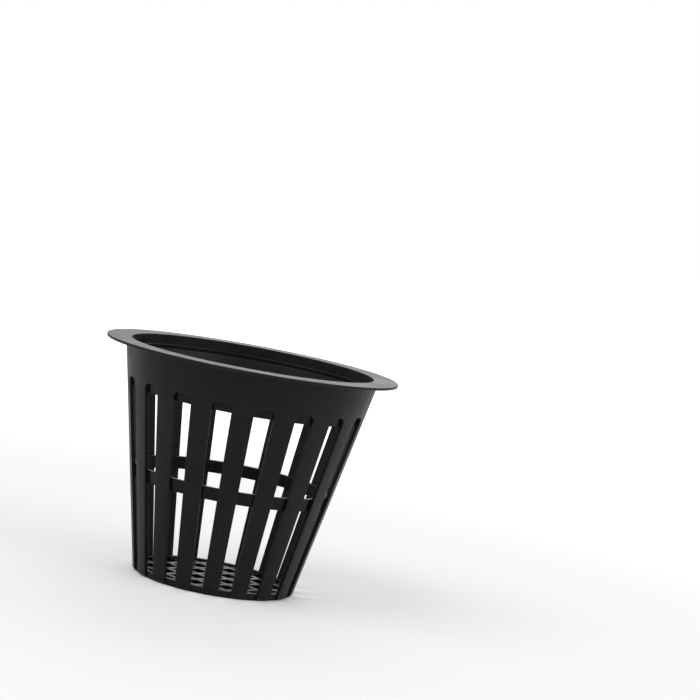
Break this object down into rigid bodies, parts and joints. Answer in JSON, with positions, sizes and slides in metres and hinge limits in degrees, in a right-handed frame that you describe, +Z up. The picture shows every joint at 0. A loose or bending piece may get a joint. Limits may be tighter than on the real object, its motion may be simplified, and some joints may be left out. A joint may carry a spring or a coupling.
{
  "type": "hydroponic net pot",
  "caption": "Small tapered net pot with a wide flat flange, slatted wall, inner hoops and a mesh floor, made to hang in a hole of a growing tray.",
  "frame": {"origin": "middle of the base, on the plane that the pot stands on", "axes": "+Z up along the pot's axis towards the mouth; +X through the middle of one wall slot"},
  "size_m": [0.06, 0.06, 0.0467],
  "materials": {
    "pot_plastic": "fine matte moulded black polypropylene"
  },
  "bodies": {
    "root": {"net_pot": "pot_plastic"}
  },
  "joints": []
}
